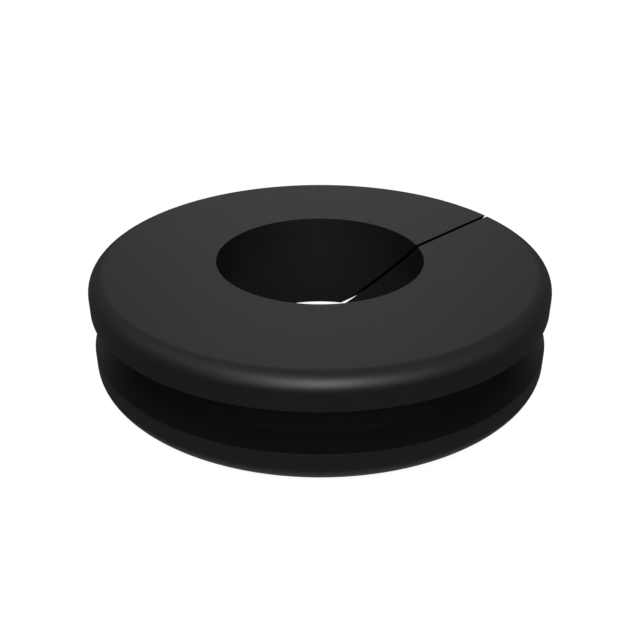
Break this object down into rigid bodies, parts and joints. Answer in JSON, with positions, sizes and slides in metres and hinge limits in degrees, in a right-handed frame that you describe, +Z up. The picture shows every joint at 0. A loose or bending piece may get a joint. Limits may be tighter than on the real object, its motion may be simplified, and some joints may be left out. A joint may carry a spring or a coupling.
{
  "type": "split rubber grommet",
  "caption": "Split rubber grommet: round moulded ring with a panel groove round its outside, a plain cable bore and a slanted slit through its wall, so that it fits over a cable.",
  "frame": {"origin": "centre of the bore on the lower end face, which the ring lies on", "axes": "+Z up along the bore from the lower end face, +X along the radius that the slit crosses at half height, +Y by the right-hand rule"},
  "size_m": [0.022, 0.022, 0.005],
  "materials": {
    "rubber": "fine matte moulded"
  },
  "bodies": {
    "root": {"grommet": "rubber"}
  },
  "joints": []
}
